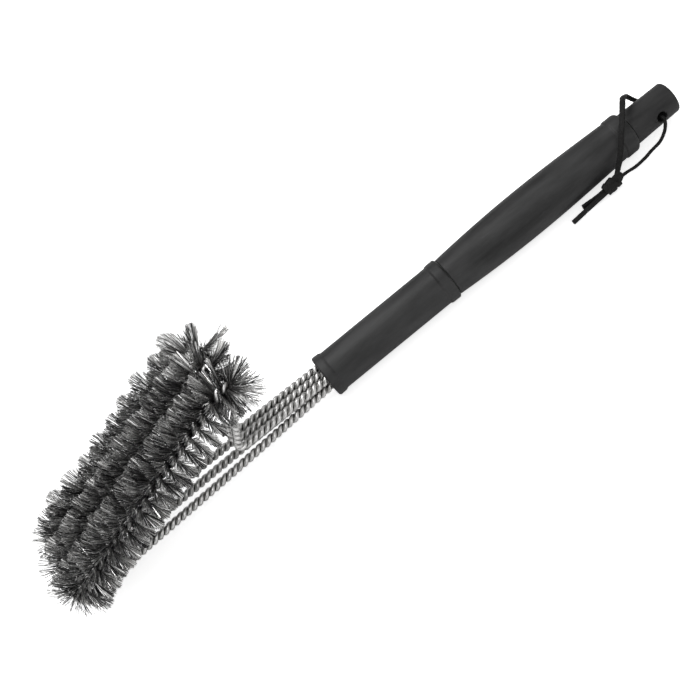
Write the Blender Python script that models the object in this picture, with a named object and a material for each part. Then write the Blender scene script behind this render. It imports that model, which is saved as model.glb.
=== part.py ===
"""Grill cleaning brush: three rows of wire bristles on twisted wire frames, in a tubular plastic handle.

Lengths are in metres. The origin is the centre of the butt end's flat face. +X runs along the handle and
out of its butt end, so the head lies towards -X, and +Z points to the working side of the bristle rows.
Each wire frame is one loop of two strands twisted together. It leaves the handle as the upper rod, bends
up into a stub, turns back on itself, carries the bristles down to the tip, turns round there and comes
back as the lower rod. The bristles are clamped between the two strands, so they make a helicoid.
"""

import math

import bmesh
import bpy
from mathutils import Vector

# Handle, as distances behind its open front end (the mouth) and radii.
HANDLE_LENGTH = 0.2565
MOUTH_X = -HANDLE_LENGTH
JOINT_GAP = 0.0003

SLEEVE_LENGTH = 0.0910
SLEEVE_RADIUS = 0.0127
SLEEVE_BORE = 0.0113
MOUTH_BEAD_RADIUS = 0.0132
MOUTH_BEAD_LENGTH = 0.0060
BELL_RADIUS = 0.0134
BELL_LENGTH = 0.0072

GRIP_END = 0.2250
GRIP_FRONT_RADIUS = 0.0122
GRIP_SWELL = 0.0021
GRIP_SWELL_LEAN = 0.9
GRIP_REAR_RADIUS = 0.0123
GRIP_RING_RADIUS = 0.0127
GRIP_RING_LENGTH = 0.0095
GRIP_BORE = 0.0088
GRIP_SPIGOT_LENGTH = 0.0150
GRIP_STATIONS = 9

HANG_END_FRONT_RADIUS = 0.0105
HANG_END_RADIUS = 0.0099
HANG_SPIGOT_LENGTH = 0.0200
BUTT_ROUNDING = 0.0014
HOLE_FROM_BUTT = 0.0130
HOLE_RADIUS = 0.00325

LATHE_SEGMENTS = 28
EDGE_ROUNDING = 0.0006
WELD_DISTANCE = 1e-6
SHARP_ANGLE = math.radians(40)

# Plugs that hold the six rods inside the front sleeve.
PLUG_RADIUS = SLEEVE_BORE - JOINT_GAP
GUIDE_PLUG = (0.0012, 0.0130)
ANCHOR_PLUG = (0.0560, 0.0720)
ROD_HOLE_RADIUS = 0.0028
ROD_HOLE_SEGMENTS = 12

# Wire frames. A frame's points are given for a side of +1 and mirrored in Y for -1; 0 is the middle one.
ROD_END = 0.0700
ROD_SPACING = 0.0058
UPPER_ROD_Z = 0.0038
LOWER_ROD_Z = -0.0022
ROW_SPACING = 0.0211
# The frames are bent by hand, so the (x, z) of their near corners differ a little.
NEAR_CORNERS = {-1: (-0.0380, 0.0648), 0: (-0.0418, 0.0662), 1: (-0.0400, 0.0624)}
STRAND_RADIUS = 0.0011
STRAND_SIDES = 4
STRAND_CORNER = STRAND_RADIUS * 1.08
ROD_OFFSET = 0.00145
ROD_PITCH = 0.0255
ROD_STEPS = 6
BEND_STEP = 0.0020

# Bristle rows, along the straight core between the near corner and the tip corner of each frame.
NEAR_CORNER_INDEX = 3
TIP_CORNER_INDEX = 4
CORE_OFFSET = 0.0023
CORE_PITCH = 0.0145
CORE_STEPS = 8
CORE_RAMP_STEPS = 2
CORE_RAMP = CORE_RAMP_STEPS * CORE_PITCH / CORE_STEPS
BRISTLE_RADIUS = 0.0172
BRISTLE_HALF_THICKNESS = 0.00035
BRISTLE_REACH_STEP = 0.0005
ROD_CLEARANCE = 0.0040
ROW_HALF_WIDTH = ROW_SPACING / 2 - 0.0003
LEAST_REACH = 0.0025
REACH_SAMPLES = 4

# Lace of soft leather, looped through the hang hole and knotted beside the grip.
LACE_WIDTH = 0.0032
LACE_THICKNESS = 0.0018
LACE_SIDES = 8
LACE_SPACING = 0.0035
KNOT_CENTRE = (0.1976, -0.0178, -0.0086)
KNOT_RADII = (0.0055, 0.0026, 0.0042)

SIDES = {"left": -1, "middle": 0, "right": 1}

BLACK_PLASTIC = {"colour": (0.030, 0.030, 0.031), "roughness": 0.50, "metallic": 0.0}
GREY_PLASTIC = {"colour": (0.060, 0.060, 0.062), "roughness": 0.60, "metallic": 0.0}
BRIGHT_STEEL = {"colour": (0.560, 0.550, 0.530), "roughness": 0.32, "metallic": 1.0}
BRISTLE_STEEL = {"colour": (0.160, 0.160, 0.160), "roughness": 0.45, "metallic": 1.0}
LACE_LEATHER = {"colour": (0.012, 0.012, 0.013), "roughness": 0.75, "metallic": 0.0}


def clear_scene():
    for obj in list(bpy.data.objects):
        bpy.data.objects.remove(obj, do_unlink=True)


def make_material(name, look):
    material = bpy.data.materials.new(name)
    material.use_nodes = True
    shader = material.node_tree.nodes["Principled BSDF"]
    shader.inputs["Base Color"].default_value = (*look["colour"], 1.0)
    shader.inputs["Roughness"].default_value = look["roughness"]
    shader.inputs["Metallic"].default_value = look["metallic"]
    return material


def add_object(name, bm, look):
    """Makes a scene object from bm, with its faces turned out and its round sides shaded smooth."""
    bmesh.ops.recalc_face_normals(bm, faces=bm.faces)
    mesh = bpy.data.meshes.new(name)
    bm.to_mesh(mesh)
    bm.free()
    mesh.shade_smooth()
    mesh.set_sharp_from_angle(angle=SHARP_ANGLE)
    obj = bpy.data.objects.new(name, mesh)
    bpy.context.scene.collection.objects.link(obj)
    obj.data.materials.append(make_material(name + "_material", look))
    return obj


def hide_as_helper(obj):
    obj.hide_render = True
    obj.display_type = "WIRE"


def add_boolean(obj, other, operation):
    """Boolean with the exact solver. The other object stays in the scene as a hidden helper."""
    modifier = obj.modifiers.new(operation.lower(), "BOOLEAN")
    modifier.operation = operation
    modifier.object = other
    hide_as_helper(other)


def arc(centre, radius, start, end, steps):
    """Points of a circular arc in the (x, r) plane, with its angles in degrees."""
    points = []
    for step in range(steps + 1):
        angle = math.radians(start + (end - start) * step / steps)
        points.append((centre[0] + radius * math.cos(angle), centre[1] + radius * math.sin(angle)))
    return points


def lathe(name, profile, look):
    """Turns an (x, r) profile, with x measured from the mouth, about the handle's axis."""
    bm = bmesh.new()
    verts = [bm.verts.new((MOUTH_X + x, 0.0, r)) for x, r in profile]
    touches_axis = profile[0][1] == 0.0 and profile[-1][1] == 0.0
    edges = [bm.edges.new(pair) for pair in zip(verts, verts[1:])]
    if not touches_axis:
        edges.append(bm.edges.new((verts[-1], verts[0])))
    bmesh.ops.spin(
        bm,
        geom=verts + edges,
        cent=(0.0, 0.0, 0.0),
        axis=(1.0, 0.0, 0.0),
        angle=math.tau,
        steps=LATHE_SEGMENTS,
    )
    bmesh.ops.remove_doubles(bm, verts=bm.verts, dist=WELD_DISTANCE)
    return add_object(name, bm, look)


def cylinder(name, centre, axis, radius, length, segments):
    """A plain round cutter about a point, along an axis."""
    bm = bmesh.new()
    turn = Vector((0.0, 0.0, 1.0)).rotation_difference(Vector(axis)).to_matrix().to_4x4()
    bmesh.ops.create_cone(
        bm, cap_ends=True, segments=segments, radius1=radius, radius2=radius, depth=length, matrix=turn
    )
    bmesh.ops.translate(bm, verts=bm.verts, vec=centre)
    return add_object(name, bm, GREY_PLASTIC)


def grip_radius(x):
    """The grip's outer radius: a long, low swell between its front edge and its rear ring."""
    start = SLEEVE_LENGTH + JOINT_GAP
    end = GRIP_END - GRIP_RING_LENGTH
    t = (x - start) / (end - start)
    swell = GRIP_SWELL * math.sin(math.pi * t ** GRIP_SWELL_LEAN)
    return GRIP_FRONT_RADIUS + (GRIP_REAR_RADIUS - GRIP_FRONT_RADIUS) * t + swell


def make_front_sleeve():
    bead_end = MOUTH_BEAD_LENGTH
    bell_start = SLEEVE_LENGTH - BELL_LENGTH
    edge = EDGE_ROUNDING
    outer = arc((edge, MOUTH_BEAD_RADIUS - edge), edge, 180, 90, 2)
    outer += [(bead_end - edge, MOUTH_BEAD_RADIUS), (bead_end, SLEEVE_RADIUS)]
    outer += [(bell_start, SLEEVE_RADIUS), (bell_start + edge, BELL_RADIUS)]
    outer += arc((SLEEVE_LENGTH - edge, BELL_RADIUS - edge), edge, 90, 0, 2)
    inner = [(SLEEVE_LENGTH, SLEEVE_BORE), (0.0, SLEEVE_BORE)]
    return lathe("front_sleeve", outer + inner, BLACK_PLASTIC)


def make_grip_sleeve():
    start = SLEEVE_LENGTH + JOINT_GAP
    ring_start = GRIP_END - GRIP_RING_LENGTH
    spigot_start = SLEEVE_LENGTH - GRIP_SPIGOT_LENGTH
    spigot_radius = SLEEVE_BORE - JOINT_GAP
    edge = EDGE_ROUNDING
    outer = [(spigot_start, GRIP_BORE), (spigot_start, spigot_radius), (start, spigot_radius)]
    for station in range(GRIP_STATIONS + 1):
        x = start + (ring_start - start) * station / GRIP_STATIONS
        outer.append((x, grip_radius(x)))
    outer += [(ring_start + edge, GRIP_RING_RADIUS)]
    outer += arc((GRIP_END - edge, GRIP_RING_RADIUS - edge), edge, 90, 0, 2)
    outer += [(GRIP_END, GRIP_BORE)]
    return lathe("grip_sleeve", outer, BLACK_PLASTIC)


def make_hang_end():
    start = GRIP_END + JOINT_GAP
    spigot_radius = GRIP_BORE - JOINT_GAP
    spigot_start = GRIP_END - HANG_SPIGOT_LENGTH
    profile = [(spigot_start, 0.0), (spigot_start, spigot_radius), (start, spigot_radius)]
    profile += [(start, HANG_END_FRONT_RADIUS)]
    rounding_centre = (HANDLE_LENGTH - BUTT_ROUNDING, HANG_END_RADIUS - BUTT_ROUNDING)
    profile += arc(rounding_centre, BUTT_ROUNDING, 90, 0, 3)
    profile += [(HANDLE_LENGTH, 0.0)]
    end = lathe("hang_end", profile, BLACK_PLASTIC)
    hole = cylinder(
        "hang_hole_cutter",
        centre=(-HOLE_FROM_BUTT, 0.0, 0.0),
        axis=(0.0, 1.0, 0.0),
        radius=HOLE_RADIUS,
        length=4 * HANG_END_RADIUS,
        segments=16,
    )
    add_boolean(end, hole, "DIFFERENCE")


def make_plug(name, span):
    """A round plug in the front sleeve, drilled for the six rods."""
    start, end = span
    profile = [(start, 0.0), (start, PLUG_RADIUS), (end, PLUG_RADIUS), (end, 0.0)]
    plug = lathe(name, profile, GREY_PLASTIC)
    for side_name, side in SIDES.items():
        for level, z in (("upper", UPPER_ROD_Z), ("lower", LOWER_ROD_Z)):
            hole = cylinder(
                f"{name}_{side_name}_{level}_cutter",
                centre=(MOUTH_X + (start + end) / 2, side * ROD_SPACING, z),
                axis=(1.0, 0.0, 0.0),
                radius=ROD_HOLE_RADIUS,
                length=2 * (end - start),
                segments=ROD_HOLE_SEGMENTS,
            )
            add_boolean(plug, hole, "DIFFERENCE")


def frame_corners(side):
    """(point, bend radius) of each corner of a wire frame, from the upper rod's end to the lower rod's."""
    row = side * ROW_SPACING
    rod = side * ROD_SPACING
    near_x, near_z = NEAR_CORNERS[side]
    corners = [
        ((ROD_END, rod, UPPER_ROD_Z), 0.0),
        ((0.0, rod, UPPER_ROD_Z), 0.120),
        ((-0.0648, side * 0.0067, 0.0050), 0.0048),
        ((near_x, row, near_z), 0.0040),
        ((-0.1842, row, 0.0126), 0.0060),
        ((-0.1852, side * 0.0168, -0.0034), 0.0060),
        ((-0.1440, side * 0.0120, -0.0026), 0.150),
        ((-0.0630, side * 0.0096, -0.0019), 0.150),
        ((0.0, rod, LOWER_ROD_Z), 0.120),
        ((ROD_END, rod, LOWER_ROD_Z), 0.0),
    ]
    return [(Vector((MOUTH_X + x, y, z)), radius) for (x, y, z), radius in corners]


def fillet(before, corner, after, radius, step):
    """Points of the arc that rounds a corner, from one tangent point to the other."""
    to_before = (before - corner).normalized()
    to_after = (after - corner).normalized()
    half_angle = to_before.angle(to_after) / 2
    tangent_length = radius / math.tan(half_angle)
    centre = corner + (to_before + to_after).normalized() * radius / math.sin(half_angle)
    start = corner + to_before * tangent_length - centre
    end = corner + to_after * tangent_length - centre
    turn = start.angle(end)
    steps = max(1, math.ceil(turn * radius / step))
    points = []
    for index in range(steps + 1):
        share = index / steps
        blend = start * math.sin((1 - share) * turn) + end * math.sin(share * turn)
        points.append(centre + blend / math.sin(turn))
    return points


class FramePath:
    """The centreline of a wire frame, with its distances and the stretch that carries bristles."""

    def __init__(self, side):
        corners = frame_corners(side)
        self.points = [corners[0][0]]
        self.is_bend = [False]
        core_ends = []
        for index in range(1, len(corners) - 1):
            corner, radius = corners[index]
            arc_points = fillet(corners[index - 1][0], corner, corners[index + 1][0], radius, BEND_STEP)
            if index == NEAR_CORNER_INDEX:
                core_ends.append(len(self.points) + len(arc_points) - 1)
            if index == TIP_CORNER_INDEX:
                core_ends.append(len(self.points))
            self.points += arc_points
            self.is_bend += [True] * (len(arc_points) - 1) + [False]
        self.points.append(corners[-1][0])
        self.distances = [0.0]
        for previous, point in zip(self.points, self.points[1:]):
            self.distances.append(self.distances[-1] + (point - previous).length)
        self.core_start, self.core_end = (self.distances[index] for index in core_ends)

    def at(self, distance):
        """(point, tangent) at a distance along the path."""
        index = 0
        while index < len(self.points) - 2 and self.distances[index + 1] <= distance:
            index += 1
        first, second = self.points[index], self.points[index + 1]
        length = self.distances[index + 1] - self.distances[index]
        share = (distance - self.distances[index]) / length
        return first.lerp(second, share), (second - first).normalized()

    def phase(self, distance):
        """The twist angle, left-handed and counted from the start of the bristles."""
        before = min(distance - self.core_start, 0.0)
        after = max(distance - self.core_end, 0.0)
        within = min(max(distance, self.core_start), self.core_end) - self.core_start
        return -math.tau * ((before + after) / ROD_PITCH + within / CORE_PITCH)

    def strand_offset(self, distance):
        """How far a strand's centre is from the path: wider where it clamps bristles."""
        inside = min(distance - self.core_start, self.core_end - distance)
        share = min(max(inside / CORE_RAMP, 0.0), 1.0)
        return ROD_OFFSET + (CORE_OFFSET - ROD_OFFSET) * share

    def stations(self):
        """Distances at which a strand gets a ring: along each bend, and at each step of its twist."""
        marks = [self.distances[0], self.distances[-1]]
        for index, distance in enumerate(self.distances[1:-1], start=1):
            if self.is_bend[index] or self.is_bend[index - 1]:
                marks.append(distance)
        marks = sorted(marks + self.core_stations()[1:])
        filled = [marks[0]]
        for start, end in zip(marks, marks[1:]):
            steps = math.ceil((end - start) / ROD_PITCH * ROD_STEPS)
            filled += [start + (end - start) * step / steps for step in range(1, steps + 1)]
        return filled

    def core_stations(self):
        count = math.floor((self.core_end - self.core_start) / CORE_PITCH * CORE_STEPS)
        return [self.core_start + index * CORE_PITCH / CORE_STEPS for index in range(count + 1)]


def cross_axes(tangent):
    """Two axes across the path: the first as near +Y as it can be."""
    sideways = Vector((0.0, 1.0, 0.0))
    sideways = (sideways - tangent * sideways.dot(tangent)).normalized()
    return sideways, tangent.cross(sideways)


def smooth_tangent(path, distance):
    """The tangent averaged over a short stretch, so that a ring in a bend halves the turn."""
    reach = BEND_STEP / 2
    start = max(distance - reach, 0.0)
    end = min(distance + reach, path.distances[-1])
    return (path.at(end)[0] - path.at(start)[0]).normalized()


def bridge_rings(bm, rings):
    """Joins each ring of points to the next, and caps both ends."""
    loops = [[bm.verts.new(point) for point in ring] for ring in rings]
    count = len(loops[0])
    for loop, following in zip(loops, loops[1:]):
        for index in range(count):
            after = (index + 1) % count
            bm.faces.new((loop[index], loop[after], following[after], following[index]))
    bm.faces.new(loops[0])
    bm.faces.new(loops[-1])


def make_strand(name, path, quarter):
    """One wire of a frame. It keeps a flat side towards its twin, so the two never touch."""
    rings = []
    for distance in path.stations():
        centre = path.at(distance)[0]
        sideways, upward = cross_axes(smooth_tangent(path, distance))
        angle = path.phase(distance) + quarter
        outward = sideways * math.cos(angle) + upward * math.sin(angle)
        around = upward * math.cos(angle) - sideways * math.sin(angle)
        strand_centre = centre + outward * path.strand_offset(distance)
        ring = []
        for corner in range(STRAND_SIDES):
            turn = math.tau * (corner + 0.5) / STRAND_SIDES
            ring.append(strand_centre + (outward * math.cos(turn) + around * math.sin(turn)) * STRAND_CORNER)
        rings.append(ring)
    bm = bmesh.new()
    bridge_rings(bm, rings)
    return add_object(name, bm, BRIGHT_STEEL)


def rod_samples(path):
    """Points along the parts of a frame that carry no bristles."""
    samples = []
    distance = 0.0
    while distance < path.distances[-1]:
        if not path.core_start - STRAND_RADIUS < distance < path.core_end + STRAND_RADIUS:
            samples.append(path.at(distance)[0])
        distance += BEND_STEP
    return samples


def bristle_direction(path, distance):
    """(root, along, across) of the bristles at a distance along the path."""
    root, tangent = path.at(distance)
    sideways, upward = cross_axes(tangent)
    angle = path.phase(distance)
    along = sideways * math.cos(angle) + upward * math.sin(angle)
    across = upward * math.cos(angle) - sideways * math.sin(angle)
    return root, along, across


def row_reach(direction, side):
    """How far bristles can reach before they enter the next row's space."""
    towards_next_row = side == 0 or direction.y * side < 0
    if not towards_next_row or BRISTLE_RADIUS * abs(direction.y) < ROW_HALF_WIDTH:
        return BRISTLE_RADIUS
    return ROW_HALF_WIDTH / abs(direction.y)


def rod_reach(root, direction, obstacles):
    """How far bristles can reach before they come near a rod."""
    reach = LEAST_REACH
    while reach < BRISTLE_RADIUS:
        tip = root + direction * (reach + BRISTLE_REACH_STEP)
        if any((tip - obstacle).length < ROD_CLEARANCE for obstacle in obstacles):
            break
        reach += BRISTLE_REACH_STEP
    return reach


def bristle_reach(path, distance, way, side, obstacles):
    """The reach at a station. Rods are looked for over the whole turn to the stations on either side."""
    spacing = CORE_PITCH / CORE_STEPS
    reach = row_reach(bristle_direction(path, distance)[1] * way, side)
    for sample in range(-REACH_SAMPLES, REACH_SAMPLES + 1):
        nearby = distance + spacing * sample / REACH_SAMPLES
        root, along, _ = bristle_direction(path, nearby)
        reach = min(reach, rod_reach(root, along * way, obstacles))
    return reach


def make_bristles(name, path, side, obstacles):
    """A helicoid with sharp outer edges: the bristles of one row, thickest where the strands clamp them."""
    rings = []
    for distance in path.core_stations()[CORE_RAMP_STEPS:-CORE_RAMP_STEPS]:
        root, along, across = bristle_direction(path, distance)
        rings.append([
            root + along * bristle_reach(path, distance, 1, side, obstacles),
            root + across * BRISTLE_HALF_THICKNESS,
            root - along * bristle_reach(path, distance, -1, side, obstacles),
            root - across * BRISTLE_HALF_THICKNESS,
        ])
    bm = bmesh.new()
    bridge_rings(bm, rings)
    return add_object(name, bm, BRISTLE_STEEL)


def lace_loop_points():
    """The lace's closed loop: out of the hang hole on the left, to the knot, over the grip and back in."""
    hole_x = HANDLE_LENGTH - HOLE_FROM_BUTT
    points = [
        (hole_x, 0.0090, 0.0),
        (hole_x, -0.0092, 0.0),
        (hole_x - 0.0004, -0.0122, -0.0014),
        (0.2412, -0.0134, -0.0044),
        (0.2392, -0.0140, -0.0064),
        (0.2362, -0.0146, -0.0084),
        (0.2328, -0.0150, -0.0095),
        (0.2279, -0.0154, -0.0098),
        (0.2228, -0.0158, -0.0107),
        (0.2150, -0.0164, -0.0108),
        (0.2070, -0.0172, -0.0088),
        KNOT_CENTRE,
        (0.2016, -0.0176, -0.0052),
        (0.2080, -0.0166, 0.0029),
        (0.2121, -0.0148, 0.0080),
        (0.2176, -0.0112, 0.0139),
        (0.2226, -0.0066, 0.0165),
        (0.2274, -0.0012, 0.0176),
        (0.2312, 0.0038, 0.0170),
        (0.2344, 0.0084, 0.0146),
        (0.2374, 0.0118, 0.0108),
        (0.2406, 0.0126, 0.0052),
        (hole_x - 0.0004, 0.0120, 0.0012),
    ]
    return [Vector((MOUTH_X + x, y, z)) for x, y, z in points]


def lace_tail_points():
    """The two loose ends, each from the knot to its tip."""
    tails = {
        "short": [(0.1946, -0.0166, -0.0098), (0.1860, -0.0160, -0.0106), (0.1763, -0.0154, -0.0102)],
        "long": [(0.1946, -0.0178, -0.0102), (0.1812, -0.0182, -0.0108), (0.1664, -0.0178, -0.0126)],
    }
    return {key: [Vector((MOUTH_X + x, y, z)) for x, y, z in points] for key, points in tails.items()}


def smooth_curve(points, closed):
    """Points of a Catmull-Rom curve through the given points, about evenly spaced."""
    count = len(points)
    spans = count if closed else count - 1
    result = []
    for index in range(spans):
        first = points[index]
        second = points[(index + 1) % count]
        before = points[index - 1] if closed or index > 0 else first - (second - first)
        after = points[(index + 2) % count] if closed or index + 2 < count else second + (second - first)
        steps = max(1, round((second - first).length / LACE_SPACING))
        for step in range(steps):
            t = step / steps
            result.append(0.5 * (
                2 * first
                + (second - before) * t
                + (2 * before - 5 * first + 4 * second - after) * t ** 2
                + (3 * first - before - 3 * second + after) * t ** 3
            ))
    if not closed:
        result.append(points[-1])
    return result


def sweep_lace(name, centres, closed):
    """A flattened round strip along a curve, with its flat side kept towards the handle where it can be."""
    count = len(centres)
    rings = []
    width_axis = None
    for index, centre in enumerate(centres):
        before = centres[index - 1] if closed or index > 0 else centre
        after = centres[(index + 1) % count] if closed or index + 1 < count else centre
        tangent = (after - before).normalized()
        if width_axis is None:
            width_axis = Vector((0.0, 0.0, 1.0))
        width_axis = (width_axis - tangent * width_axis.dot(tangent)).normalized()
        thick_axis = tangent.cross(width_axis)
        ring = []
        for corner in range(LACE_SIDES):
            turn = math.tau * (corner + 0.5) / LACE_SIDES
            ring.append(
                centre
                + width_axis * math.cos(turn) * LACE_WIDTH / 2
                + thick_axis * math.sin(turn) * LACE_THICKNESS / 2
            )
        rings.append(ring)
    bm = bmesh.new()
    if closed:
        close_rings(bm, rings)
    else:
        bridge_rings(bm, rings)
    return add_object(name, bm, LACE_LEATHER)


def close_rings(bm, rings):
    """Joins the rings all the way round. The last one starts at the corner nearest the first one's."""
    shift = min(range(LACE_SIDES), key=lambda turn: (rings[-1][turn] - rings[0][0]).length)
    loops = [[bm.verts.new(point) for point in ring] for ring in rings]
    for loop, following in zip(loops, loops[1:]):
        for index in range(LACE_SIDES):
            after = (index + 1) % LACE_SIDES
            bm.faces.new((loop[index], loop[after], following[after], following[index]))
    last, first = loops[-1], loops[0]
    for index in range(LACE_SIDES):
        after = (index + 1) % LACE_SIDES
        turned = (index + shift) % LACE_SIDES
        turned_after = (index + 1 + shift) % LACE_SIDES
        bm.faces.new((last[turned], last[turned_after], first[after], first[index]))


def make_lace():
    lace = sweep_lace("hang_lace", smooth_curve(lace_loop_points(), closed=True), closed=True)
    bm = bmesh.new()
    bmesh.ops.create_icosphere(bm, subdivisions=2, radius=1.0)
    bmesh.ops.scale(bm, verts=bm.verts, vec=KNOT_RADII)
    centre = Vector(KNOT_CENTRE) + Vector((MOUTH_X, 0.0, 0.0))
    bmesh.ops.translate(bm, verts=bm.verts, vec=centre)
    add_boolean(lace, add_object("knot_helper", bm, LACE_LEATHER), "UNION")
    for key, points in lace_tail_points().items():
        tail = sweep_lace(f"{key}_tail_helper", smooth_curve(points, closed=False), closed=False)
        add_boolean(lace, tail, "UNION")


def make_head():
    paths = {name: FramePath(side) for name, side in SIDES.items()}
    obstacles = [point for path in paths.values() for point in rod_samples(path)]
    for name, side in SIDES.items():
        make_strand(f"{name}_wire_a", paths[name], math.pi / 2)
        make_strand(f"{name}_wire_b", paths[name], -math.pi / 2)
        make_bristles(f"{name}_bristles", paths[name], side, obstacles)


def build():
    clear_scene()
    make_front_sleeve()
    make_grip_sleeve()
    make_hang_end()
    make_plug("rod_guide_plug", GUIDE_PLUG)
    make_plug("rod_anchor_plug", ANCHOR_PLUG)
    make_head()
    make_lace()


build()
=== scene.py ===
"""Fine surfaces, materials, light and camera for the grill cleaning brush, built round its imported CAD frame.

Everything is in metres and in the frame's own axes: +X runs along the handle and out of its butt end, +Z
points to the working side of the bristle rows, and the left row is on -Y. Places along the handle are
measured from its open front end, the mouth.
"""

import math

import bpy
import numpy as np
from mathutils import Matrix, Vector, noise


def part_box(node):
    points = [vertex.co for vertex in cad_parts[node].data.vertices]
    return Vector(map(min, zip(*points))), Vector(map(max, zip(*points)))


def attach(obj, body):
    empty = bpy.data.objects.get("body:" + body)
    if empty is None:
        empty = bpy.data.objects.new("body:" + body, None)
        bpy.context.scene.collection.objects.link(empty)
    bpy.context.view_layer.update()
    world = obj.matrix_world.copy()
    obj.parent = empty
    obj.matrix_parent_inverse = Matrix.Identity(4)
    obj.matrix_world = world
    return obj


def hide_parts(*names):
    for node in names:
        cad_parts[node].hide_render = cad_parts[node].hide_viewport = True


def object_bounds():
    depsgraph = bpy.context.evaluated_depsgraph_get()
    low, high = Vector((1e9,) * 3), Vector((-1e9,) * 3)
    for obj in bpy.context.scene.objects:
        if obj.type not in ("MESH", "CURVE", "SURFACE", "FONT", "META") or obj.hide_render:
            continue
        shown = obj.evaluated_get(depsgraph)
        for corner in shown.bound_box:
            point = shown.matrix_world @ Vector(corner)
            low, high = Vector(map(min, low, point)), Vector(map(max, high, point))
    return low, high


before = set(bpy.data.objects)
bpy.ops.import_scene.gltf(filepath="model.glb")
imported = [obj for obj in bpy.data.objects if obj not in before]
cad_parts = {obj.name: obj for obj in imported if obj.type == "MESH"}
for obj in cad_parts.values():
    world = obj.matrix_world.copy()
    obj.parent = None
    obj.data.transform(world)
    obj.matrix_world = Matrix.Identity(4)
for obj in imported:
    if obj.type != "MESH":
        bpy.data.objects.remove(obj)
CAD_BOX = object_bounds()

SLEEVE_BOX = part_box("front_sleeve")
GRIP_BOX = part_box("grip_sleeve")
HANG_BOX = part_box("hang_end")
MOUTH_X = SLEEVE_BOX[0].x

# Handle: places along it and radii. A corner of an outline is (place, radius, rounding).
SLEEVE_END = SLEEVE_BOX[1].x - MOUTH_X
GRIP_END = GRIP_BOX[1].x - MOUTH_X
HANDLE_END = HANG_BOX[1].x - MOUTH_X
SLEEVE_RADIUS = 0.0127
SLEEVE_BORE = 0.0113
BELL_RADIUS = SLEEVE_BOX[1].z
JOINT_GAP = 0.0003
GRIP_FRONT_RADIUS = 0.0122
GRIP_SWELL = 0.0021
GRIP_SWELL_LEAN = 0.9
GRIP_REAR_RADIUS = 0.0123
GRIP_RING_LENGTH = 0.0095
GRIP_BORE = 0.0088
GRIP_SPIGOT_LENGTH = 0.0150
GRIP_FRONT_STRAIGHT = 0.0060
GRIP_REAR_STRAIGHT = 0.0020
GRIP_STATIONS = 72
HANG_END_FRONT_RADIUS = 0.0105
HANG_END_RADIUS = 0.0099
HANG_END_TAPER = 0.8
HANG_FRONT_STRAIGHT = 0.0020
HANG_FRONT_FALL = 0.00004
HANG_SPIGOT_LENGTH = 0.0200
HANG_STATIONS = 40
BUTT_ROUNDING = 0.0016
BUTT_STRAIGHT = 0.0010
BUTT_RING_RADIUS = HANG_END_RADIUS / 2
SOFT_EDGE = 0.0005
FINE_EDGE = 0.0004
CRISP_EDGE = 0.0002
OUTLINE_TURN_STEP = math.radians(9)
LATHE_SEGMENTS = 144
SHARP_ANGLE = math.radians(35)

# Rings of the handle. The bead's corners are placed from the mouth, the others' from the end they stand at.
MOUTH_BEAD = ((0.0, 0.0136, 0.0014), (0.0052, 0.0134, 0.0022), (0.0066, SLEEVE_RADIUS, 0.0016))
BELL = (
    (-0.0075, SLEEVE_RADIUS, 0.0010),
    (-0.0064, BELL_RADIUS, 0.0016),
    (0.0, BELL_RADIUS + 0.0001, 0.0014),
)
GRIP_RING = ((-0.0096, 0.0122, 0.0012), (-0.0089, 0.0129, 0.0014), (0.0, 0.0128, 0.0026))

# Hang hole.
HOLE_FROM_BUTT = 0.0130
HOLE_X = HANDLE_END - HOLE_FROM_BUTT
HOLE_RADIUS = 0.00325
HOLE_RIM = 0.0006
HOLE_RIM_STEPS = 6
HOLE_RIM_LIFT = 0.00008
HOLE_SEGMENTS = 96
HOLE_CUTTER_REACH = HANG_END_RADIUS * 1.2

# Plugs that hold the rods.
PLUG_RADIUS = SLEEVE_BORE - JOINT_GAP
PLUG_ROUNDING = 0.0006
ROD_HOLE_RADIUS = 0.0028
ROD_HOLE_SEGMENTS = 48
ROD_CUTTER_MARGIN = 0.0010

# Wire frames. Points are for a side of +1 and mirrored in Y for -1; 0 is the middle one.
SIDES = {"left": -1, "middle": 0, "right": 1}
ROD_END = 0.0700
ROD_SPACING = 0.0058
UPPER_ROD_Z = 0.0038
LOWER_ROD_Z = -0.0022
ROW_SPACING = 0.0211
NEAR_CORNERS = {-1: (-0.0380, 0.0648), 0: (-0.0418, 0.0662), 1: (-0.0400, 0.0624)}
MOUTH_BEND = 0.120
ROD_SWEEP = 0.150
STUB_BEND = 0.0048
NEAR_BEND = 0.0040
TIP_BEND = 0.0060
NEAR_CORNER_INDEX = 3
TIP_CORNER_INDEX = 4
PATH_STEP = 0.00025
FILLET_STEP = 0.0004
STRAND_RADIUS = 0.00136
STRAND_SIDES = 12
STRAND_STEP = 0.00045
ROD_OFFSET = 0.00138
ROD_PITCH = 0.0085
CORE_OFFSET = 0.00168
CORE_PITCH = 0.0145
CORE_RAMP = 0.0050

# Bristles: each is one thin wire, clamped at its middle between the two strands of its frame.
BRISTLES_PER_ROW = 4200
BRISTLE_RADIUS = 0.0172
BRISTLE_WIDTH = 0.00026
BRISTLE_SIDES = 3
BRISTLE_STATIONS = 7
BRISTLE_SHARP_ANGLE = math.radians(60)
BUNDLE_HALF_THICKNESS = 0.0004
SEEDS = {"left": 11, "middle": 23, "right": 37}

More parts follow.
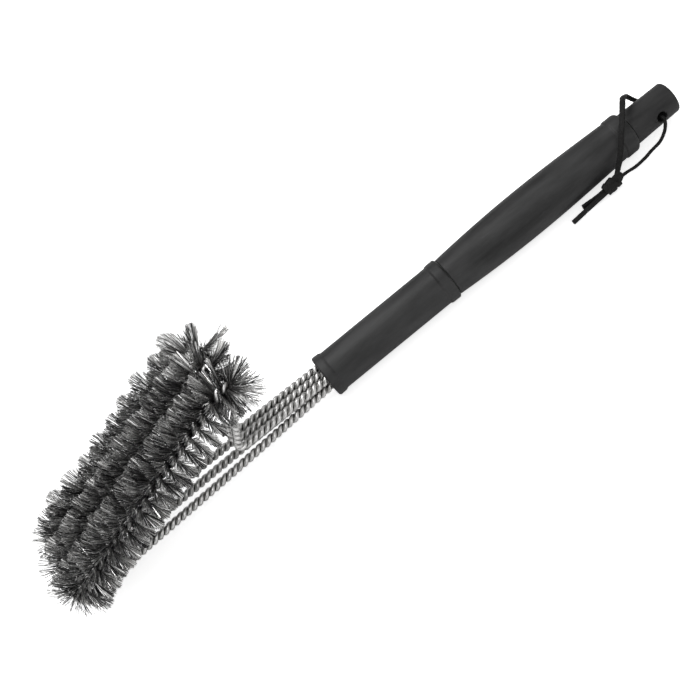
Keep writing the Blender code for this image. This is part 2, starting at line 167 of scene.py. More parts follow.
# How each bristle differs from a straight spoke: turned about its frame, leaned along it, curled and longer.
# A growth is the power of the share of the way to its tip with which a difference sets in.
SPREAD_AROUND = math.radians(2.8)
SPREAD_ALONG = {"left": math.radians(0.6), "middle": math.radians(1.0), "right": math.radians(1.0)}
CURL_AROUND = math.radians(4.0)
CURL_ALONG = {"left": math.radians(1.1), "middle": math.radians(1.8), "right": math.radians(1.8)}
LENGTH_SPREAD = 0.020
REACH_LIMITS = (BRISTLE_RADIUS * 0.8, BRISTLE_RADIUS * 1.35)
OFF_CENTRE = {"left": 0.0003, "middle": 0.0006, "right": 0.0020}
TURN_GROWTH = 0.4
LEAN_GROWTH = 0.3
CURL_GROWTH = 2

# Tufts: neighbouring bristles turn, lean and lengthen together.
TUFT_LENGTH = 0.0036
TUFT_TURN = {"left": math.radians(1.6), "middle": math.radians(3.0), "right": math.radians(4.0)}
TUFT_LEAN = {"left": math.radians(1.0), "middle": math.radians(2.6), "right": math.radians(3.6)}
TUFT_REACH = {"left": 0.0003, "middle": 0.0005, "right": 0.0010}

# The ends of a row, where bristles reach past the clamping stretch, fall over, splay and stick out.
NEAR_OVERRUN = 0.0110
TIP_OVERRUN = 0.0038
NEAR_DENSITY = 1.6
NEAR_LEAN = math.radians(8)
TIP_LEAN = math.radians(8)
TIP_SPLAY = math.radians(26)
LEAN_VARIETY = (0.5, 1.1)
END_LEAN_LENGTH = 0.0050
END_SPREAD = math.radians(7)
NEAR_SHAG = {"left": 0.0040, "middle": 0.0020, "right": 0.0004}
TIP_SHAG = 0.0062
LEAST_TIP_SHAG = 0.4
SHAG_LENGTH = 0.0080
SHAG_WAY = (0.0, -0.70, -0.71)

# Bare rods push the bristles in their way aside. NO_ZERO gives a vector of no length a direction.
ROD_CLEARANCE = 0.0027
BARE_MARGIN = 0.0070
OBSTACLE_STEP = 0.0008
FREE_ROOT = 0.0030
TIP_MARGIN = 0.0010
LEAST_PUSH_DISTANCE = 0.0010
PUSH_GROWTH = 1.25
PUSH_ROUNDS = 2
NO_ZERO = 1e-9

# How brightness varies from bristle to bristle, on a scale of 0 to 1; its dark end is painted shade and its
# bright end painted glints.
TONE_MIDDLE = 0.5
TONE_DRIFT = 0.20
TONE_SPREAD = 0.28
GLINT_LENGTH = 0.00025

# Lace: a flat strip. Loop widths are (share of the way round the loop, width).
LACE_WIDTH = 0.0033
LOOP_WIDTHS = (
    (0.0, 0.0026),
    (0.20, 0.0021),
    (0.46, 0.0021),
    (0.56, 0.0034),
    (0.85, 0.0036),
    (1.0, 0.0026),
)
LACE_THICKNESS = 0.0018
LACE_SQUARENESS = 0.55
LACE_UNEVENNESS = 0.02
LACE_SIDES = 20
LACE_STEP = 0.0005
LACE_VOXEL = 0.00022
LACE_ROUGHNESS = 0.00012
LACE_ROUGH_SCALE = 900.0
LACE_SEED = 5

# Knot: bands are (place along its axis, slant, radius), and points of the ear are (along, depth, side).
KNOT_CENTRE = (0.1976, -0.0178, -0.0086)
KNOT_AXIS = (1.0, 0.0, 0.10)
KNOT_DEPTH = 0.0021
KNOT_BANDS = ((-0.0044, 0.0008, 0.0035), (-0.0016, 0.0006, 0.0039), (0.0012, 0.0019, 0.0036))
KNOT_OVERLAP = 1.04
KNOT_STEPS = 60
KNOT_EAR = (
    (-0.0010, -0.0010, 0.0012),
    (0.0030, -0.0020, -0.0006),
    (0.0054, -0.0022, -0.0026),
    (0.0050, -0.0016, -0.0044),
    (0.0022, -0.0010, -0.0036),
    (-0.0012, 0.0000, -0.0020),
)

# The lace's closed loop: out of the hang hole on the left, to the knot, over the grip and back in.
LACE_LOOP = (
    (HOLE_X, 0.0090, 0.0),
    (HOLE_X, -0.0092, 0.0),
    (HOLE_X - 0.0004, -0.0122, -0.0014),
    (0.2412, -0.0134, -0.0044),
    (0.2392, -0.0140, -0.0064),
    (0.2362, -0.0146, -0.0084),
    (0.2328, -0.0150, -0.0095),
    (0.2279, -0.0154, -0.0098),
    (0.2228, -0.0158, -0.0107),
    (0.2150, -0.0164, -0.0108),
    (0.2070, -0.0172, -0.0088),
    KNOT_CENTRE,
    (0.2016, -0.0176, -0.0052),
    (0.2080, -0.0166, 0.0029),
    (0.2121, -0.0148, 0.0080),
    (0.2176, -0.0112, 0.0139),
    (0.2226, -0.0066, 0.0165),
    (0.2274, -0.0012, 0.0176),
    (0.2312, 0.0038, 0.0170),
    (0.2344, 0.0084, 0.0146),
    (0.2374, 0.0118, 0.0108),
    (0.2406, 0.0126, 0.0052),
    (HOLE_X - 0.0004, 0.0120, 0.0012),
)

# Its short and its long loose tail, from the knot to their ends.
SHORT_TAIL = (
    (0.1990, -0.0174, -0.0090),
    (0.1946, -0.0166, -0.0098),
    (0.1860, -0.0160, -0.0106),
    (0.1763, -0.0154, -0.0102),
)
LONG_TAIL = (
    (0.1990, -0.0178, -0.0090),
    (0.1946, -0.0178, -0.0102),
    (0.1812, -0.0182, -0.0108),
    (0.1664, -0.0178, -0.0126),
)

# Colours.
PLASTIC_BLACK = (0.0045, 0.0045, 0.0046)
PLASTIC_CLOUD = (0.0250, 0.0250, 0.0253)
PLASTIC_RUBBED = (0.085, 0.085, 0.086)
PLASTIC_SPECK = (0.080, 0.080, 0.080)
PLUG_BLACK = (0.012, 0.012, 0.012)
PLUG_GREY = (0.034, 0.034, 0.035)
STEEL_DULL = (0.52, 0.516, 0.508)
STEEL_BRIGHT = (0.82, 0.815, 0.803)
STEEL_WORN = (0.26, 0.25, 0.235)
# The next two colours are painted shade: where strands touch, and in seams and towards bristle roots.
CREVICE_SHADE_COLOUR = (0.020, 0.019, 0.018)
PAINTED_SHADE_COLOUR = (0.030, 0.029, 0.028)
# Bristle base colours by tone: the darkest are painted shade between bristles, the brightest painted glints.
BRISTLE_TONES_AND_GLINTS = (
    (0.20, (0.026, 0.026, 0.027)),
    (0.45, (0.220, 0.219, 0.216)),
    (0.60, (0.900, 0.896, 0.886)),
    (0.72, (1.000, 0.994, 0.982)),
)
BRISTLE_GRIME = (0.050, 0.048, 0.046)
LEATHER_BLACK = (0.0020, 0.0020, 0.0020)
LEATHER_CREASED = (0.0075, 0.0073, 0.0072)
LEATHER_DRY = (0.026, 0.025, 0.025)
# SEAM_REACH and SEAM_SAMPLES set the ambient-occlusion test that paints shade into the wire's seams.
SEAM_REACH = 0.0035
SEAM_SAMPLES = 6

# Camera: where it lies from the mouth's centre, to its right, up and back, and how it is turned.
VIEW_ROLL = math.radians(39.3)
VIEW_DOWN = math.radians(46)
CAMERA_FOCAL = 59.14
CAMERA_OFFSET = (0.01416, 0.01578, 0.6647)

# Light and floor.
KEY_LIGHT = {"direction": (-0.15, 0.20, 1.0), "distance": 1.2, "size": 0.7, "power": 10.0}
FRONT_LIGHT = {"direction": (0.1, -1.0, 0.9), "distance": 1.4, "size": 1.0, "power": 4.0}
FLOOR_HALF_SIZE = 30.0
FLOOR_GAP = 0.0006
FLOOR_LIFT = 0.74
SKY_BRIGHT = 0.80
SKY_DIM = 0.28


# ---- Mesh helpers ----


def add_mesh(name, points, faces, material, sharp_angle=SHARP_ANGLE):
    """Makes an object from points and faces, smooth except along its sharp edges."""
    mesh = bpy.data.meshes.new(name)
    mesh.from_pydata([tuple(point) for point in points], [], [tuple(face) for face in faces])
    mesh.validate()
    mesh.shade_smooth()
    mesh.set_sharp_from_angle(angle=sharp_angle)
    mesh.materials.append(material)
    obj = bpy.data.objects.new(name, mesh)
    bpy.context.scene.collection.objects.link(obj)
    return obj


def stand_for(obj, node, body="root"):
    """Makes an object a piece that rides on a body and stands for a CAD node."""
    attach(obj, body)
    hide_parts(node)


def set_attribute(obj, name, values, kind="FLOAT"):
    """Stores one number, or one vector, for each point of a mesh."""
    attribute = obj.data.attributes.new(name, kind, "POINT")
    field = "value" if kind == "FLOAT" else "vector"
    attribute.data.foreach_set(field, np.asarray(values, np.float32).ravel())


def unit(vectors):
    """Vectors scaled to a length of 1."""
    return vectors / np.linalg.norm(vectors, axis=-1, keepdims=True)


def dots(first, second):
    """Dot products of pairs of vectors."""
    return np.sum(first * second, axis=-1, keepdims=True)


def turns_round(count):
    """Evenly spaced angles, once round."""
    return np.arange(count) * math.tau / count


def ring_faces(ring_count, ring_size, closed_rings=False):
    """Quads that join each ring of points to the next."""
    rows = np.arange(ring_count if closed_rings else ring_count - 1)[:, None]
    columns = np.arange(ring_size)[None, :]
    after = (columns + 1) % ring_size
    following = (rows + 1) % ring_count
    quads = np.stack([
        rows * ring_size + columns,
        rows * ring_size + after,
        following * ring_size + after,
        following * ring_size + columns,
    ], axis=-1)
    return quads.reshape(-1, 4).tolist()


def swept_faces(ring_count, ring_size):
    """Quads of a swept tube, with a face on each of its ends."""
    last = (ring_count - 1) * ring_size
    caps = [list(range(ring_size))[::-1], [last + index for index in range(ring_size)]]
    return ring_faces(ring_count, ring_size) + caps


def fillet(before, corner, after, radius, turn_step):
    """Points of the arc that rounds a corner, from one tangent point to the other."""
    to_before = (before - corner).normalized()
    to_after = (after - corner).normalized()
    half_angle = to_before.angle(to_after) / 2
    tangent_length = radius / math.tan(half_angle)
    centre = corner + (to_before + to_after).normalized() * radius / math.sin(half_angle)
    start = corner + to_before * tangent_length - centre
    end = corner + to_after * tangent_length - centre
    turn = start.angle(end)
    steps = max(2, math.ceil(turn / turn_step))
    points = []
    for index in range(steps + 1):
        share = index / steps
        blend = start * math.sin((1 - share) * turn) + end * math.sin(share * turn)
        points.append(centre + blend / math.sin(turn))
    return points


def apply_modifiers(obj):
    """Turns an object's modifiers into its mesh."""
    graph = bpy.context.evaluated_depsgraph_get()
    mesh = bpy.data.meshes.new_from_object(obj.evaluated_get(graph))
    obj.modifiers.clear()
    obj.data = mesh


def cut(obj, cutters):
    """Cuts the cutters out of an object and removes them."""
    for cutter in cutters:
        modifier = obj.modifiers.new("cut", "BOOLEAN")
        modifier.operation = "DIFFERENCE"
        modifier.object = cutter
    bpy.context.view_layer.update()
    apply_modifiers(obj)
    for cutter in cutters:
        bpy.data.objects.remove(cutter, do_unlink=True)
    obj.data.set_sharp_from_angle(angle=SHARP_ANGLE)


# ---- Materials ----


def opaque(colour):
    """A colour or grey as red, green, blue and alpha."""
    return (*colour, 1.0) if isinstance(colour, tuple) else (colour, colour, colour, 1.0)


class Look:
    """A procedural material: a Principled shader and short calls that add nodes to it."""

    def __init__(self, name):
        self.material = bpy.data.materials.new(name)
        self.material.use_nodes = True
        self.tree = self.material.node_tree
        self.shader = self.tree.nodes["Principled BSDF"]

    def link(self, value, socket):
        """Gives a socket a value or another node's socket."""
        if isinstance(value, bpy.types.NodeSocket):
            self.tree.links.new(value, socket)
        else:
            socket.default_value = value

    def add(self, kind, settings=None, **inputs):
        """Adds a node. Inputs are given by name with _ for a space, as a value or another node's socket."""
        made = self.tree.nodes.new(kind)
        for key, value in (settings or {}).items():
            setattr(made, key, value)
        for key, value in inputs.items():
            self.link(value, made.inputs[key.replace("_", " ")])
        return made

    def stretch(self, place, scale):
        return self.add("ShaderNodeMapping", Vector=place, Scale=scale).outputs["Vector"]

    def place(self, scale=(1.0, 1.0, 1.0)):
        """The object's own coordinates, stretched."""
        return self.stretch(self.add("ShaderNodeTexCoord").outputs["Object"], scale)

    def noise(self, place, scale, detail=4.0, roughness=0.55):
        made = self.add("ShaderNodeTexNoise", Vector=place, Scale=scale, Detail=detail, Roughness=roughness)
        return made.outputs["Fac"]

    def ramp(self, value, stops):
        """Maps a value through (position, colour or grey) stops."""
        made = self.add("ShaderNodeValToRGB", Fac=value)
        elements = made.color_ramp.elements
        while len(elements) < len(stops):
            elements.new(1.0)
        for element, (position, colour) in zip(elements, stops):
            element.position = position
            element.color = opaque(colour)
        return made.outputs["Color"]

    def mix(self, share, first, colour):
        """Lays a share of a colour or grey over a first one, which is another node's socket."""
        made = self.add("ShaderNodeMix", {"data_type": "RGBA"})
        self.link(share, made.inputs["Factor"])
        self.link(first, made.inputs["A"])
        self.link(opaque(colour), made.inputs["B"])
        return made.outputs["Result"]

    def product(self, first, second):
        """Two values multiplied, the first of them another node's socket."""
        made = self.add("ShaderNodeMath", {"operation": "MULTIPLY"})
        self.link(first, made.inputs[0])
        self.link(second, made.inputs[1])
        return made.outputs["Value"]

    def attribute(self, name, output="Fac"):
        return self.add("ShaderNodeAttribute", {"attribute_name": name}).outputs[output]

    def bump(self, height, strength, distance, normal=None):
        made = self.add("ShaderNodeBump", Strength=strength, Distance=distance, Height=height)
        if normal is not None:
            self.link(normal, made.inputs["Normal"])
        return made.outputs["Normal"]

    def finish(self, **inputs):
        """Sets the Principled shader's inputs and returns the material."""
        for key, value in inputs.items():
            self.link(value, self.shader.inputs[key.replace("_", " ")])
        return self.material


def black_plastic():
    """Satin black moulded plastic: a fine grain, cloudy gloss, faint rubbed streaks and pale specks."""
    look = Look("black_plastic_look")
    even = look.place()
    streaks = look.noise(look.place((0.16, 1.0, 1.0)), scale=420.0, detail=3.0, roughness=0.7)
    cloud = look.noise(look.place((0.22, 1.0, 1.0)), scale=110.0, detail=5.0)
    base = look.ramp(cloud, [(0.36, PLASTIC_BLACK), (0.66, PLASTIC_CLOUD)])
    patch = look.ramp(look.noise(even, scale=22.0, detail=3.0), [(0.50, 0.0), (0.66, 1.0)])
    rubbed = look.product(look.ramp(streaks, [(0.62, 0.0), (0.74, 1.0)]), patch)
    speck = look.ramp(look.noise(even, scale=1300.0, detail=2.0), [(0.70, 0.0), (0.78, 1.0)])
    colour = look.mix(look.product(rubbed, 0.35), base, PLASTIC_RUBBED)
    colour = look.mix(look.product(speck, 0.16), colour, PLASTIC_SPECK)
    gloss = look.ramp(cloud, [(0.25, 0.50), (0.75, 0.62)])
    gloss = look.mix(look.product(rubbed, 0.5), gloss, 0.72)
    grain = look.bump(look.noise(even, scale=2600.0, detail=2.0), strength=0.22, distance=0.00006)
    waves = look.noise(even, scale=240.0, detail=3.0)
    normal = look.bump(waves, strength=0.10, distance=0.00025, normal=grain)
    return look.finish(
        Base_Color=colour,
        Roughness=gloss,
        Normal=normal,
        Specular_IOR_Level=0.34,
        Sheen_Weight=0.12,
        Sheen_Roughness=0.3,
    )


def plug_plastic():
    """Dull grey-black filled plastic with a coarse cast grain."""
    look = Look("plug_plastic_look")
    grain = look.noise(look.place(), scale=900.0, detail=5.0, roughness=0.7)
    base = look.ramp(grain, [(0.35, PLUG_BLACK), (0.70, PLUG_GREY)])
    normal = look.bump(grain, strength=0.5, distance=0.00015)
    return look.finish(Base_Color=base, Roughness=0.75, Normal=normal, Specular_IOR_Level=0.3)


def steel_wire():
    """Drawn steel wire: fine lines along the wire, uneven gloss, and painted shade where two strands touch and
    in the seams that ambient occlusion finds.
    """
    look = Look("steel_wire_look")
    place = look.attribute("wire_place", "Vector")
    drawn = look.noise(look.stretch(place, (2.2, 90.0, 1.0)), scale=3.0, detail=5.0, roughness=0.65)
    worn = look.noise(look.stretch(place, (0.6, 260.0, 1.0)), scale=1.0, detail=4.0)
    clean = look.ramp(drawn, [(0.32, STEEL_DULL), (0.68, STEEL_BRIGHT)])
    tinted = look.mix(look.ramp(worn, [(0.52, 0.0), (0.74, 0.55)]), clean, STEEL_WORN)
    # Painted shade: the side of each strand that faces its twin is darkened towards a near-black grey.
    crevice = look.ramp(look.attribute("crevice"), [(0.36, 0.0), (0.72, 0.92)])
    colour = look.mix(crevice, tinted, CREVICE_SHADE_COLOUR)
    gloss = look.ramp(worn, [(0.35, 0.26), (0.75, 0.46)])
    gloss = look.mix(crevice, gloss, 0.75)
    # Painted shade: ambient occlusion darkens the colour in the seams and hollows between the rods.
    shade = look.add("ShaderNodeAmbientOcclusion", {"samples": SEAM_SAMPLES}, Distance=SEAM_REACH)
    seam_shade_mask = look.ramp(shade.outputs["AO"], [(0.15, 0.85), (0.60, 0.0)])
    colour = look.mix(seam_shade_mask, colour, PAINTED_SHADE_COLOUR)
    normal = look.bump(drawn, strength=0.18, distance=0.00008)
    return look.finish(Base_Color=colour, Metallic=1.0, Roughness=gloss, Normal=normal)


def bristle_steel():
    """Spring steel bristles of random tone, with painted shade at the dark end and painted glints at the
    bright end, all darkened by painted shade near their clamped roots.
    """
    look = Look("bristle_steel_look")
    # Tone: random brightness per bristle, with painted shade at its dark end and painted glints at its bright
    # end.
    tone = look.ramp(look.attribute("tone"), BRISTLE_TONES_AND_GLINTS)
    grime = look.noise(look.place(), scale=420.0, detail=3.0)
    tone = look.mix(look.ramp(grime, [(0.45, 0.0), (0.75, 0.6)]), tone, BRISTLE_GRIME)
    # Painted shade: bristles darken towards their clamped roots, where the rows shade them.
    depth = look.ramp(look.attribute("reach"), [(0.26, 0.90), (0.80, 0.0)])
    colour = look.mix(depth, tone, PAINTED_SHADE_COLOUR)
    gloss = look.ramp(look.attribute("tone"), [(0.0, 0.45), (1.0, 0.20)])
    return look.finish(Base_Color=colour, Metallic=0.85, Roughness=gloss)


def lace_leather():
    """Black leather cord: fine pebble grain, soft creases, and dry grey flecks where the grain noise is high.
    """
    look = Look("lace_leather_look")
    even = look.place()
    grain = look.noise(even, scale=1700.0, detail=4.0, roughness=0.6)
    cells = look.add("ShaderNodeTexVoronoi", Vector=even, Scale=1100.0).outputs["Distance"]
    creases = look.noise(even, scale=420.0, detail=3.0, roughness=0.7)
    base = look.ramp(creases, [(0.35, LEATHER_BLACK), (0.75, LEATHER_CREASED)])
    dry = look.ramp(grain, [(0.60, 0.0), (0.76, 0.35)])
    colour = look.mix(dry, base, LEATHER_DRY)
    pebble = look.bump(cells, strength=0.35, distance=0.00010)
    normal = look.bump(creases, strength=0.55, distance=0.00030, normal=pebble)
    gloss = look.ramp(grain, [(0.3, 0.58), (0.7, 0.85)])
    return look.finish(Base_Color=colour, Roughness=gloss, Normal=normal, Specular_IOR_Level=0.22)


def pale_floor():
    """A pale matt floor that also glows a little to the camera, and to nothing else."""
    look = Look("pale_floor_look")
    cloud = look.noise(look.place(), scale=3.0, detail=2.0)
    colour = look.ramp(cloud, [(0.0, 0.90), (1.0, 0.92)])
    glow = look.product(look.add("ShaderNodeLightPath").outputs["Is Camera Ray"], FLOOR_LIFT)
    return look.finish(
        Base_Color=colour,
        Roughness=0.9,
        Specular_IOR_Level=0.1,
        Emission_Color=colour,
        Emission_Strength=glow,
    )


# ---- Handle ----


def rounded(corners):
    """An outline through (x, r, rounding) corners, with an arc at each corner that has a rounding."""
    places = [Vector(corner[:2]) for corner in corners]
    points = []
    for index, place in enumerate(places):
        rounding = corners[index][2]
        if rounding == 0.0:
            points.append(place)
        else:
            after = places[(index + 1) % len(places)]
            points += fillet(places[index - 1], place, after, rounding, OUTLINE_TURN_STEP)
    return [(point.x, point.y) for point in points]


def moved(corners, x):
    """Corners of an outline, moved along the handle."""
    return [(x + place, radius, rounding) for place, radius, rounding in corners]


def lathe(node, profile, material):
    """Turns an (x, r) outline about the handle's axis. It is closed, or both its ends lie on the axis."""
    turns = turns_round(LATHE_SEGMENTS)
    on_axis = profile[0][1] == 0.0
    rings = profile[1:-1] if on_axis else profile
    points = [
        (MOUTH_X + x, r * math.sin(turn), r * math.cos(turn))
        for x, r in rings
        for turn in turns
    ]
    faces = ring_faces(len(rings), LATHE_SEGMENTS, closed_rings=not on_axis)
    if on_axis:
        first, last = len(points), len(points) + 1
        points += [(MOUTH_X + profile[0][0], 0.0, 0.0), (MOUTH_X + profile[-1][0], 0.0, 0.0)]
        base = (len(rings) - 1) * LATHE_SEGMENTS
        for index in range(LATHE_SEGMENTS):
            after = (index + 1) % LATHE_SEGMENTS
            faces.append([first, after, index])
            faces.append([last, base + index, base + after])
    shell = add_mesh(node + "_shell", points, faces, material)
    stand_for(shell, node)
    return shell


def grip_radius(x):
    """The grip's outer radius: a long, low swell between its front edge and its rear ring."""
    start = SLEEVE_END + JOINT_GAP
    end = GRIP_END - GRIP_RING_LENGTH
    t = min(max((x - start) / (end - start), 0.0), 1.0)
    swell = GRIP_SWELL * math.sin(math.pi * t ** GRIP_SWELL_LEAN)
    return GRIP_FRONT_RADIUS + (GRIP_REAR_RADIUS - GRIP_FRONT_RADIUS) * t + swell


def make_front_sleeve(material):
    """The open front tube, with a bead at its mouth and a bell ring at its rear edge."""
    profile = rounded([
        (0.0, SLEEVE_BORE, SOFT_EDGE),
        *MOUTH_BEAD,
        *moved(BELL, SLEEVE_END),
        (SLEEVE_END, SLEEVE_BORE, CRISP_EDGE),
    ])
    lathe("front_sleeve", profile, material)


def make_grip_sleeve(material):
    """The swelling grip, with the spigot that sits in the front sleeve."""
    start = SLEEVE_END + JOINT_GAP
    spigot_start = SLEEVE_END - GRIP_SPIGOT_LENGTH
    spigot_radius = SLEEVE_BORE - JOINT_GAP
    swell_start = start + GRIP_FRONT_STRAIGHT
    swell_end = GRIP_END - GRIP_RING_LENGTH - GRIP_REAR_STRAIGHT
    stations = np.linspace(swell_start, swell_end, GRIP_STATIONS + 1).tolist()
    profile = rounded([
        (spigot_start, GRIP_BORE, 0.0),
        (spigot_start, spigot_radius, FINE_EDGE),
        (start, spigot_radius, 0.0),
        (start, GRIP_FRONT_RADIUS, SOFT_EDGE),
        *[(x, grip_radius(x), 0.0) for x in stations],
        *moved(GRIP_RING, GRIP_END),
        (GRIP_END, GRIP_BORE, CRISP_EDGE),
    ])
    lathe("grip_sleeve", profile, material)


def hang_hole_cutter(material):
    """A cross hole whose rim is rounded along the curved surface of the hang end."""
    turns = turns_round(HOLE_SEGMENTS)
    rings = []
    for step in range(HOLE_RIM_STEPS + 1):
        angle = math.tau / 4 * step / HOLE_RIM_STEPS
        radius = HOLE_RADIUS + HOLE_RIM * (1 - math.cos(angle))
        depth = HOLE_RIM * (1 - math.sin(angle))
        surface = np.sqrt(HANG_END_RADIUS ** 2 - (radius * np.sin(turns)) ** 2)
        rings.append((radius, surface + HOLE_RIM_LIFT - depth))
    rings.append((HOLE_RADIUS + HOLE_RIM, np.full(len(turns), HOLE_CUTTER_REACH)))
    rings = [(radius, -surface) for radius, surface in reversed(rings)] + rings
    points = []
    for radius, surface in rings:
        for turn, y in zip(turns, surface):
            points.append((MOUTH_X + HOLE_X + radius * math.cos(turn), y, radius * math.sin(turn)))
    faces = [face[::-1] for face in swept_faces(len(rings), len(turns))]
    return add_mesh("hang_hole_cutter", points, faces, material)


def make_hang_end(material):
    """The narrower butt end, with the spigot that sits in the grip and the cross hole for the lace."""
    start = GRIP_END + JOINT_GAP
    spigot_radius = GRIP_BORE - JOINT_GAP
    spigot_start = GRIP_END - HANG_SPIGOT_LENGTH
    front = start + HANG_FRONT_STRAIGHT
    rear = HANDLE_END - BUTT_ROUNDING - BUTT_STRAIGHT
    taper = []
    for station in range(1, HANG_STATIONS):
        share = station / HANG_STATIONS
        radius = HANG_END_FRONT_RADIUS + (HANG_END_RADIUS - HANG_END_FRONT_RADIUS) * share ** HANG_END_TAPER
        taper.append((front + (rear - front) * share, radius, 0.0))
    profile = rounded([
        (spigot_start, 0.0, 0.0),
        (spigot_start, spigot_radius, SOFT_EDGE),
        (start, spigot_radius, 0.0),
        (start, HANG_END_FRONT_RADIUS, FINE_EDGE),
        (front, HANG_END_FRONT_RADIUS - HANG_FRONT_FALL, 0.0),
        *taper,
        (rear, HANG_END_RADIUS, 0.0),
        (HANDLE_END, HANG_END_RADIUS, BUTT_ROUNDING),
        (HANDLE_END, BUTT_RING_RADIUS, 0.0),
        (HANDLE_END, 0.0, 0.0),
    ])
    cut(lathe("hang_end", profile, material), [hang_hole_cutter(material)])


def rod_cutter(start, end, y, z, material):
    """A round bar where a rod passes through a plug."""
    points = [
        (MOUTH_X + x, y + ROD_HOLE_RADIUS * math.sin(turn), z + ROD_HOLE_RADIUS * math.cos(turn))
        for x in (start - ROD_CUTTER_MARGIN, end + ROD_CUTTER_MARGIN)
        for turn in turns_round(ROD_HOLE_SEGMENTS)
    ]
    return add_mesh("rod_cutter", points, swept_faces(2, ROD_HOLE_SEGMENTS), material)


def make_plug(name, material):
    """A round plug with softened edges, drilled for the six rods."""
    low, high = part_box(name)
    start, end = low.x - MOUTH_X, high.x - MOUTH_X
    profile = rounded([
        (start, 0.0, 0.0),
        (start, PLUG_RADIUS, PLUG_ROUNDING),
        (end, PLUG_RADIUS, PLUG_ROUNDING),
        (end, 0.0, 0.0),
    ])
    plug = lathe(name, profile, material)
    cut(plug, [
        rod_cutter(start, end, side * ROD_SPACING, z, material)
        for side in SIDES.values()
        for z in (UPPER_ROD_Z, LOWER_ROD_Z)
    ])


# ---- Wire frames ----


def frame_corners(side):
    """(point, bend radius) of each corner of a wire frame, from the upper rod's end to the lower rod's."""
    row = side * ROW_SPACING
    rod = side * ROD_SPACING
    near_x, near_z = NEAR_CORNERS[side]
    corners = [
        ((ROD_END, rod, UPPER_ROD_Z), 0.0),
        ((0.0, rod, UPPER_ROD_Z), MOUTH_BEND),
        ((-0.0648, side * 0.0067, 0.0050), STUB_BEND),
        ((near_x, row, near_z), NEAR_BEND),
        ((-0.1842, row, 0.0126), TIP_BEND),
        ((-0.1852, side * 0.0168, -0.0034), TIP_BEND),
        ((-0.1440, side * 0.0120, -0.0026), ROD_SWEEP),
        ((-0.0630, side * 0.0096, -0.0019), ROD_SWEEP),
        ((0.0, rod, LOWER_ROD_Z), MOUTH_BEND),
        ((ROD_END, rod, LOWER_ROD_Z), 0.0),
    ]
    return [(Vector((MOUTH_X + x, y, z)), radius) for (x, y, z), radius in corners]


class FramePath:
    """A wire frame's centreline as evenly spaced samples, with axes across it that don't spin."""

    def __init__(self, side):
        corners = frame_corners(side)
        points = [corners[0][0]]
        ends = []
        for index in range(1, len(corners) - 1):
            corner, radius = corners[index]
            before, after = corners[index - 1][0], corners[index + 1][0]
            arc_points = fillet(before, corner, after, radius, FILLET_STEP / radius)
            if index == NEAR_CORNER_INDEX:
                ends.append(len(points) + len(arc_points) - 1)
            if index == TIP_CORNER_INDEX:
                ends.append(len(points))
            points += arc_points
        points.append(corners[-1][0])
        points = np.array(points)
        distances = np.concatenate([[0.0], np.cumsum(np.linalg.norm(np.diff(points, axis=0), axis=1))])
        self.core_start, self.core_end = distances[ends[0]], distances[ends[1]]
        self.length = distances[-1]
        self.distances = np.arange(0.0, self.length, PATH_STEP)
        columns = [np.interp(self.distances, distances, column) for column in points.T]
        self.points = np.stack(columns, axis=1)
        self.tangents = unit(np.gradient(self.points, axis=0))
        self.first_axes = self.carried_axes()
        self.second_axes = np.cross(self.tangents, self.first_axes)

    def carried_axes(self):
        """An axis across the path, +Y where the bristles start, carried both ways without spin."""
        start = int(np.searchsorted(self.distances, self.core_start)) + 1
        axes = np.zeros_like(self.points)
        axis = np.array((0.0, 1.0, 0.0))
        axes[start] = unit(axis - self.tangents[start] * (axis @ self.tangents[start]))
        for way in (1, -1):
            index = start + way
            while 0 <= index < len(axes):
                axis = axes[index - way]
                axes[index] = unit(axis - self.tangents[index] * (axis @ self.tangents[index]))
                index += way
        return axes

    def sample(self, values, distance):
        """Values of the path at distances along it."""
        return np.stack([np.interp(distance, self.distances, values[:, axis]) for axis in range(3)], -1)

    def phase(self, distance):
        """The twist angle, left-handed and counted from the start of the bristles."""
        before = np.minimum(distance - self.core_start, 0.0)
        after = np.maximum(distance - self.core_end, 0.0)
        within = np.clip(distance, self.core_start, self.core_end) - self.core_start
        return -math.tau * ((before + after) / ROD_PITCH + within / CORE_PITCH)

    def at(self, distance):
        """(point, tangent, bristle direction, direction across it) at distances along the path."""
        tangent = unit(self.sample(self.tangents, distance))
        first = self.sample(self.first_axes, distance)
        second = self.sample(self.second_axes, distance)
        angle = self.phase(distance)[..., None]
        along = unit(first * np.cos(angle) + second * np.sin(angle))
        return self.sample(self.points, distance), tangent, along, np.cross(tangent, along)

    def strand_offset(self, distance):
        """How far a strand's centre is from the path: wider where it clamps bristles."""
        inside = np.minimum(distance - self.core_start, self.core_end - distance) + CORE_RAMP / 2
        share = np.clip(inside / CORE_RAMP, 0.0, 1.0)
        return (ROD_OFFSET + (CORE_OFFSET - ROD_OFFSET) * share)[:, None]


